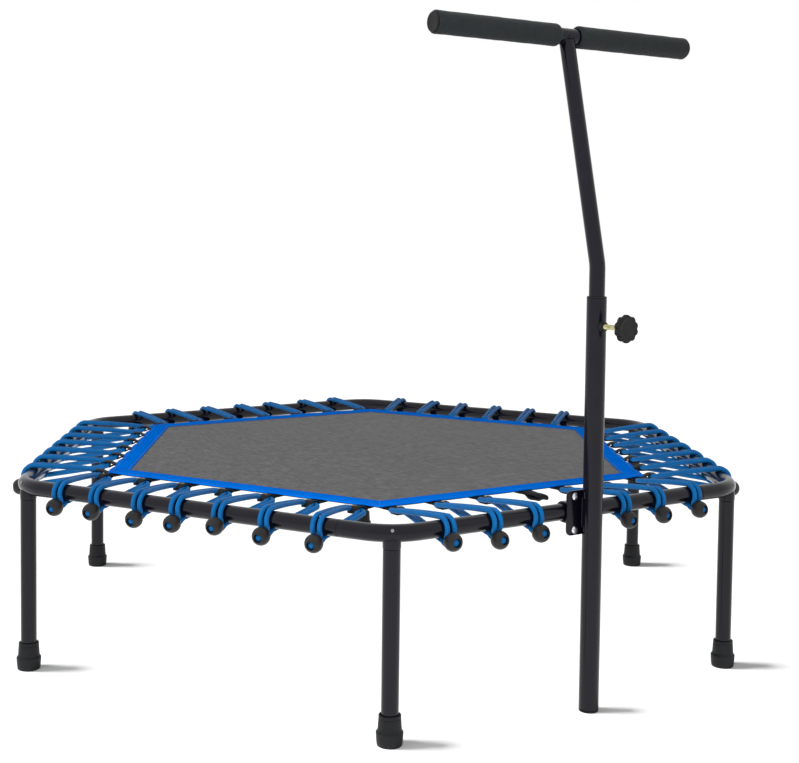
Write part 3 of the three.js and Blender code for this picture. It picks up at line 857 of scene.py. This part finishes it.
def webbing_loop(x, empty):
    """A tab: webbing sewn under the tape, open at its outer end for the cords to pass through.

    The empty one has no cord to pull it flat, so it is curled up and thicker.
    """
    thick = (2.6 if empty else 1.3) * MM
    top = MAT_TOP - MAT_THICK - 1.5 * MM
    high = 3.4 * MM if empty else CORD_R + 0.4 * MM
    nose = (3.0 if empty else 2.4) * MM
    tip = EYE_OUT + (12 if empty else 10.5) * MM
    heart = top - 4 * MM if empty else EYE_Z

    def layer(sewn, open_part):
        """The upper or the lower half of its path, from under the border to the eye."""
        return [(MAT_EDGE + out * MM, sewn) for out in (-24, -4, 6)] + [
            (EYE_OUT + out * MM, open_part) for out in (-7, 3.5)]

    bend = arc(tip - nose, heart - high + nose, nose, 60, -60, 6)
    path = [*layer(top, heart + high), *bend, *layer(top - 1.8 * MM, heart - high)[::-1]]
    line = smooth([Vector((0, out, up)) for out, up in path], 3 * MM)
    rows = []
    for k, point in enumerate(line):
        ahead = (line[min(k + 1, len(line) - 1)] - line[max(k - 1, 0)]).normalized()
        normal = Vector((0, -ahead.z, ahead.y))
        flare = max(0.0, min(1.0, (EYE_OUT - point.y) / (40 * MM)))
        beyond = max(0.0, point.y - MAT_EDGE)
        half = (TAB_WIDTH + 10 * MM * flare) / 2
        bow = 900 * beyond if empty else 0.0
        drift = 0.35 * beyond if empty else 0.0
        ring = []
        for share, lift in WEBBING_SECTION:
            across = share * half
            spot = point + normal * (lift * thick / 2)
            ring.append(at(x + drift + across, spot.y, spot.z - bow * across ** 2))
        rows.append(ring)
    return Form().skin(rows, caps=True)


def bungees_of_side(i):
    side = side_frame(i)
    slips = {0: POST_SLIPS, 5: LEFT_SLIPS}.get(i, [chance.randint(-5, 5) for _ in range(BUNGEES)])
    lifts = {0: POST_LIFTS, 5: LEFT_LIFTS}.get(i, [chance.randint(-2, 3) for _ in range(BUNGEES)])
    for j in range(BUNGEES):
        offset = j - (BUNGEES - 1) // 2
        seam = offset * SPACING + ROW_SHIFTS[i]
        empty = i == 0 and offset == 0
        label = f"{i + 1}_{j + 1}"
        tab = webbing_loop(seam + (11 * MM if empty else 0), empty)
        piece(f"tab_{label}", tab.move(mat_frame(i)), "mat_fabric", "mat", material=WEBBING, sharp=60)
        if empty:
            continue
        eye = side.inverted() @ mat_frame(i) @ at(seam, EYE_OUT, EYE_Z)
        x = seam + CORD_SHIFT + slips[j] * MM
        pair = PAIR + chance.uniform(-0.8, 0.8) * MM
        tilt = math.radians(BALL_TILTS[i] + chance.uniform(-6, 6))
        axis = at(chance.uniform(-0.12, 0.12), math.cos(tilt), math.sin(tilt))
        ball = at(x, APOTHEM + BALL_OUT, RAIL_Z - BALL_DROP + lifts[j] * MM)
        form = bungee_cord(x, eye, pair, ball, axis)
        cord = piece(f"cord_{label}", form.move(side), "bungee_cord", None, sharp=70)
        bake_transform(cord)
        end = piece(f"ball_{label}", ball_end(ball, axis).move(side), "foot_rubber",
                    material=BALL_LOOK, sharp=40)
        if offset == 1:
            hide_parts(f"bungee_row_{i + 1}")


for i in range(SIDES):
    bungees_of_side(i)


# ---------------- post and clamp

def post_frame(up=0.0):
    return Matrix.Translation((POST.x, POST.y, up))


def post_tube():
    path = [Vector((0, 0, POST_LOW)), Vector((0, 0, POST_TOP))]
    return eased_tube(path, POST_R, 40, WALL).move(post_frame())


def post_foot():
    """A plastic plug, as wide as the post outside it."""
    outer, inner = POST_R / MM, (POST_R - WALL) / MM - 0.3
    plug = in_mm([(0, 0, 0), (outer - 0.2, 0, 0.8), (outer - 0.1, 3, 0.4), (inner, 3, 0),
                  (inner, 38, 0.8), (0, 38, 0)])
    return lathe(rounded(plug), 40, post_frame())


def bushing():
    """The plastic sleeve in the post's mouth, which guides the sliding tube."""
    inner, outer = UPPER_R / MM + 0.25, (POST_R - WALL) / MM - 0.3
    lip = POST_R / MM
    profile = in_mm([(inner, -30), (outer, -30), (outer, 0.3), (lip - 0.1, 0.3), (lip - 0.1, 1.6),
                     (lip - 0.7, 2.6), (lip - 1.6, 3), (inner + 0.6, 3), (inner, 2.4)])
    return lathe(profile, 40, post_frame(POST_TOP), hollow=True)


def rounded_plate(width, height, corner, thick, edge):
    """A plate with round corners and eased edges, from Z = 0 to Z = thick."""
    def outline(inset, z):
        points = []
        w, h, r = width / 2 - inset, height / 2 - inset, corner - inset
        for k, (cx, cy) in enumerate(((w - r, h - r), (r - w, h - r), (r - w, r - h), (w - r, r - h))):
            points += [Vector((x, y, z)) for x, y in arc(cx, cy, r, 90 * k, 90 * k + 90, 6)]
        return points
    easing = ((edge, 0), (0.3 * edge, 0.3 * edge), (0, edge))
    back = [outline(inset, z) for inset, z in easing]
    front = [outline(inset, thick - z) for inset, z in reversed(easing)]
    return Form().skin(back + front, caps=True)


CLAMP = middle("clamp_front")
PLATE_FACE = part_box("clamp_front")[0].y
RAIL_Y = CENTRE.y - APOTHEM
FLANGE_BACK = RAIL_Y - RAIL_R + 3 * MM


def clamp_plate():
    """The plate welded to the post."""
    low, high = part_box("clamp_front")
    plate = rounded_plate(high.x - low.x, high.z - low.z, 8 * MM, 3 * MM, 0.7 * MM)
    return plate.move(aimed((CLAMP.x, high.y, CLAMP.z), (0, -1, 0)))


def plate_welds():
    """A bead of weld on each side of the post, in short overlapping runs."""
    form = Form()
    steps = 90
    for hand in (-1, 1):
        path = []
        radii = []
        for k in range(steps + 1):
            z = CLAMP.z + (k / steps - 0.5) * 46 * MM
            path.append(Vector((POST.x + hand * 7.4 * MM, PLATE_FACE - 0.9 * MM, z)))
            radii.append((2.1 + 0.25 * math.sin(k * 1.4) - 0.9 * abs(2 * k / steps - 1) ** 8) * MM)
        form.add(sweep(path, radii, 12))
    return form


def clamp_shell():
    """The shell round the rail: a half-round channel, with a flange above and below it."""
    low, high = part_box("clamp_rear")
    top = high.z - RAIL_Z
    front = low.y - RAIL_Y
    thick = 3 * MM

    def face(flange, radius, corner):
        """One side of its section, from the upper flange round the rail to the lower one."""
        upper = [(flange, top, 0), (flange, radius, corner), (0, radius, 0)]
        lower = [(y, -z, r) for y, z, r in reversed(upper)]
        return rounded(upper) + arc(0, 0, radius, 84, -84, 14) + rounded(lower)

    inner = face(front, RAIL_R + 0.3 * MM, 2 * MM)
    outer = face(front + thick, RAIL_R + 0.3 * MM + thick, 1 * MM)
    section = [(RAIL_Y + y, RAIL_Z + z) for y, z in inner + outer[::-1]]
    rows = [[Vector((x, y, z)) for y, z in section] for x in (low.x, high.x)]
    return Form().skin(rows, caps=True)


def screw_places():
    places = [middle(f"clamp_screw_{k + 1}") for k in range(4)]
    return [(place.x, place.z) for place in places]


def hexagonal(flat):
    """A hexagon by its half width across the flats, as a radius for each angle."""
    return lambda angle: flat / math.cos(angle % (math.pi / 3) - math.pi / 6)


def clamp_nuts():
    form = Form()
    for x, z in screw_places():
        flat = 5.4 * MM * COS
        side, top = hexagonal(flat), hexagonal(flat * 0.93)
        nut = [(0, 0), (side, 0), (side, 4.2 * MM), (top, 4.8 * MM), (0, 4.8 * MM)]
        form.add(lathe(nut, 48, aimed((x, FLANGE_BACK + 0.1 * MM, z), (0, 1, 0))))
    return form


piece("post_tube", post_tube(), "black_paint", replaces=["outer_post"])
feet.append(piece("post_foot_cap", post_foot(), "black_plastic", replaces=["post_cap"]))
piece("post_mouth_bushing", bushing(), "black_plastic", replaces=["post_bushing"])
piece("clamp_plate", clamp_plate().add(plate_welds()), "black_paint", replaces=["clamp_front"])
piece("clamp_shell", clamp_shell().add(clamp_nuts()), "black_paint", replaces=["clamp_rear"],
      bevel=0.5 * MM)
for k, (x, z) in enumerate(screw_places()):
    seat = aimed((x, PLATE_FACE - 0.1 * MM, z), (0, -1, 0), (math.cos(k), 0, math.sin(k)))
    piece(f"clamp_bolt_{k + 1}", screw_head(5.6 * MM, 3.4 * MM, 15 * MM, seat), "zinc",
          replaces=[f"clamp_screw_{k + 1}"])


# ---------------- knob

def along_stud():
    """A frame on the post's centre line whose Z points along the stud."""
    direction = (math.cos(KNOB_TURN), math.sin(KNOB_TURN), 0)
    return aimed((POST.x, POST.y, KNOB_Z), direction, (0, 0, 1))


def stud():
    """A screw thread cut as a helix, with its crests a little flattened."""
    pitch = 1.25 * MM
    start, end = UPPER_R + 0.4 * MM, KNOB_BACK + 4 * MM
    steps = int((end - start) / pitch * 6)

    def cut(z):
        def radius(angle):
            phase = (z / pitch - angle / math.tau) % 1
            return (3.95 - 0.62 * min(1, 2.4 * abs(phase - 0.5))) * MM
        return radius

    heights = [start + (end - start) * k / steps for k in range(steps + 1)]
    return lathe([(cut(z), z) for z in heights], 20, along_stud())


def stud_boss():
    """The round nut welded to the post, with its weld."""
    end, root = BOSS_END / MM, POST_R / MM
    profile = in_mm([(4.3, end - 0.8, 0), (5, end, 0.3), (6.8, end, 0.7), (7, end - 3, 1),
                     (8.4, root - 1, 0.8), (8, root - 3, 0), (4.3, root - 3, 0)])
    return lathe(rounded(profile), 32, along_stud(), hollow=True)


def knob_head():
    """A lobed hand knob: a hub, a fluted skirt and a flat face inside a low rim."""
    lobes = 10
    outer = 20.7
    back, front = KNOB_BACK / MM, KNOB_FRONT / MM

    def lobed(radius, depth):
        return lambda angle: (radius - depth * (0.5 - 0.5 * math.cos(lobes * angle)) ** 1.6) * MM

    hub = in_mm([(0, back - 1.2), (8.5, back - 1.2), (9.2, back - 0.6), (9.4, back + 1.5)])
    skirt = []
    for inset, depth, z in ((3.2, 0.8, back + 2), (1.4, 1.8, back + 2.8), (0.4, 2.5, back + 4),
                            (0, 2.8, back + 6), (0, 2.8, front - 5), (0.5, 2.6, front - 2.6),
                            (1.6, 2.0, front - 1.1), (3.2, 1.2, front - 0.5), (4.6, 0.6, front - 0.55)):
        skirt.append((lobed(outer - inset, depth), z * MM))
    face = in_mm([(outer - 6.4, front - 1.3), (outer - 9, front - 1.2), (0, front - 0.9)])
    return lathe(hub + skirt + face, 120, along_stud())


piece("stud_boss", stud_boss(), "black_paint", replaces=["knob_nut"])
piece("threaded_stud", stud(), "yellow_zinc", "knob", ["knob_stud"], sharp=60)
piece("hand_knob", knob_head(), "black_plastic", "knob", ["knob"])


# ---------------- handle

LEAN = math.radians(13.2)
BEND_Z = BAR.z - (BAR.y - POST.y) / math.tan(LEAN)
HANDLE_BEND_R = 60 * MM
UP = Vector((0, math.sin(LEAN), math.cos(LEAN)))


def upper_tube():
    """Straight inside the post, then bent to lean inwards, and cut to sit against the crossbar."""
    low = (POST.y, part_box("upper_tube")[0].z)
    start = BEND_Z - HANDLE_BEND_R * math.tan(LEAN / 2)
    bend = arc(POST.y + HANDLE_BEND_R, start, HANDLE_BEND_R, 180, 180 - math.degrees(LEAN), 8)
    path = [Vector((POST.x, y, z)) for y, z in [low, *bend]]
    return sweep([*path, BAR - UP * (UPPER_R * 0.75)], UPPER_R, 36, WALL)


def weld_bead():
    """The fillet of weld where the tube meets the crossbar."""
    path = []
    steps = 72
    sideways = Vector((0, math.cos(LEAN), -math.sin(LEAN)))
    for k in range(steps + 1):
        angle = math.tau * k / steps
        along = UPPER_R * math.cos(angle) * 1.03
        across = UPPER_R * math.sin(angle) * 0.97
        drop = math.sqrt(UPPER_R ** 2 - across ** 2) + 0.3 * MM
        path.append(BAR + Vector((along, 0, 0)) + sideways * across - UP * drop)
    radii = [(1.25 + 0.22 * math.sin(k * 1.9)) * MM for k in range(len(path))]
    return sweep(path, radii, 10)


def crossbar():
    half = Vector((BAR_HALF, 0, 0))
    return eased_tube([BAR - half, BAR + half], UPPER_R, 36, WALL)


def outwards(hand):
    """A frame on the middle of the crossbar whose Z points to its left or right end."""
    return aimed(BAR, (hand, 0, 0), (0, 0, 1))


def grip(hand):
    """A foam sleeve with rounded ends, a little uneven along its length."""
    bore = UPPER_R + 0.2 * MM
    inner_rim, outer_rim = 4 * MM, 2 * MM
    length = GRIP_OUT - outer_rim - GRIP_IN - inner_rim
    profile = [(bore, GRIP_IN + 2 * MM), (bore + 1 * MM, GRIP_IN + 0.4 * MM)]
    profile += arc(GRIP_R - inner_rim, GRIP_IN + inner_rim, inner_rim, -80, 0, 4)
    steps = 24
    for k in range(1, steps):
        swell = (0.12 * math.sin(k * 1.1) + 0.1 * math.sin(k * 2.3 + hand)) * MM
        profile.append((GRIP_R - 0.2 * MM + swell, GRIP_IN + inner_rim + length * k / steps))
    profile += arc(GRIP_R - outer_rim, GRIP_OUT - outer_rim, outer_rim, 0, 90, 3)
    profile.append((bore, GRIP_OUT))
    return lathe(profile, 48, outwards(hand), hollow=True)


def end_cap(hand):
    """A plug pressed into the crossbar, its face dished inside a rounded rim."""
    face = GRIP_OUT / MM + 0.3
    spigot = (UPPER_R - WALL) / MM - 0.3
    plug = in_mm([(0, face - 20, 0), (spigot, face - 20, 0.6), (spigot, face, 0), (14.6, face, 0.6),
                  (15, face + 1.6, 0.8), (13, face + 3, 0.9), (11.5, face + 2.3, 0.6),
                  (0, face + 2.2, 0)])
    return lathe(rounded(plug), 40, outwards(hand))


piece("sliding_tube", upper_tube().add(weld_bead()), "black_paint", "handle", ["upper_tube"])
piece("cross_tube", crossbar(), "black_paint", "handle", ["crossbar"])
for hand, word in ((-1, "left"), (1, "right")):
    sleeve = piece(f"foam_{word}", grip(hand), "grip_foam", "handle", [f"grip_{word}"], sharp=60)
    piece(f"cap_{word}", end_cap(hand), "black_plastic", "handle", [f"end_cap_{word}"])
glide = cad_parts["tube_glide"]
for finish in glide.material_slots:
    finish.material = LOOKS["black_plastic"]


# ---------------- camera, light and floor

def stand():
    """The camera, at the height and distance of the photographer."""
    yaw, pitch, roll = math.radians(57.346), math.radians(3.202), math.radians(0.659)
    ahead = Vector((math.cos(yaw) * math.cos(pitch), math.sin(yaw) * math.cos(pitch), -math.sin(pitch)))
    level = Vector((math.sin(yaw), -math.cos(yaw), 0))
    above = level.cross(ahead)
    right = level * math.cos(roll) + above * math.sin(roll)
    up = above * math.cos(roll) - level * math.sin(roll)
    turn = Matrix((right, up, -ahead)).transposed().to_4x4()
    data = bpy.data.cameras.new("camera")
    data.sensor_width = 36
    data.lens = 60.33
    data.shift_x = 0.0173
    data.shift_y = -0.1048
    data.clip_end = 60
    place = Matrix.Translation(CENTRE + Vector((-1.3234, -2.0982, 0.7252))) @ turn
    bpy.context.scene.camera = added("camera", data, place)


def lamp(name, place, target, size, power):
    """A soft lamp. It is left out of reflections, which show the white room only."""
    data = bpy.data.lights.new(name, "AREA")
    data.shape = "DISK"
    data.size = size
    data.energy = power
    light = added(name, data, aimed(CENTRE + Vector(place), Vector(place) - Vector(target)))
    light.visible_glossy = False


def grouped(name, things):
    group = bpy.data.collections.new(name)
    for thing in things:
        group.objects.link(thing)
    return group


def low_sun(ground):
    """A wide light for the floor alone, in which only the feet cast their short soft shadows."""
    data = bpy.data.lights.new("low_sun", "SUN")
    data.energy = 34
    data.angle = math.radians(26)
    height = math.radians(24)
    towards = Vector((-0.842 * math.cos(height), 0.54 * math.cos(height), math.sin(height)))
    light = added("low_sun", data, aimed(CENTRE + Vector((0, 0, 3)), towards))
    light.light_linking.receiver_collection = grouped("lit_by_low_sun", [ground])
    light.light_linking.blocker_collection = grouped("shading_low_sun", feet)


def studio():
    """A white room: bright to the eye and in reflections, softer as light on the object."""
    world = bpy.data.worlds.new("studio")
    bpy.context.scene.world = world
    world.use_nodes = True
    tree = world.node_tree
    background = tree.nodes["Background"]
    background.inputs["Color"].default_value = (1, 1, 1, 1)
    path = tree.nodes.new("ShaderNodeLightPath")
    soft = tree.nodes.new("ShaderNodeMapRange")
    tree.links.new(path.outputs["Is Diffuse Ray"], soft.inputs["Value"])
    soft.inputs["To Min"].default_value = 1.0
    soft.inputs["To Max"].default_value = 0.55
    tree.links.new(soft.outputs["Result"], background.inputs["Strength"])
    lamp("key", (-2.6, -0.6, 1.9), (0, 0, 0.2), 1.6, 62)
    lamp("front", (-0.7, -1.6, 1.2), (-0.2, -0.4, 0.3), 1.0, 18)


def floor():
    reach = 8
    corners = [(reach * x, reach * y, 0) for x, y in ((-1, -1), (1, -1), (1, 1), (-1, 1))]
    mesh = bpy.data.meshes.new("floor")
    mesh.from_pydata(corners, [], [(0, 1, 2, 3)])
    mesh.materials.append(pale_floor())
    ground = added("floor", mesh)
    low_sun(ground)


stand()
studio()
floor()
bpy.context.scene.view_settings.view_transform = "Standard"
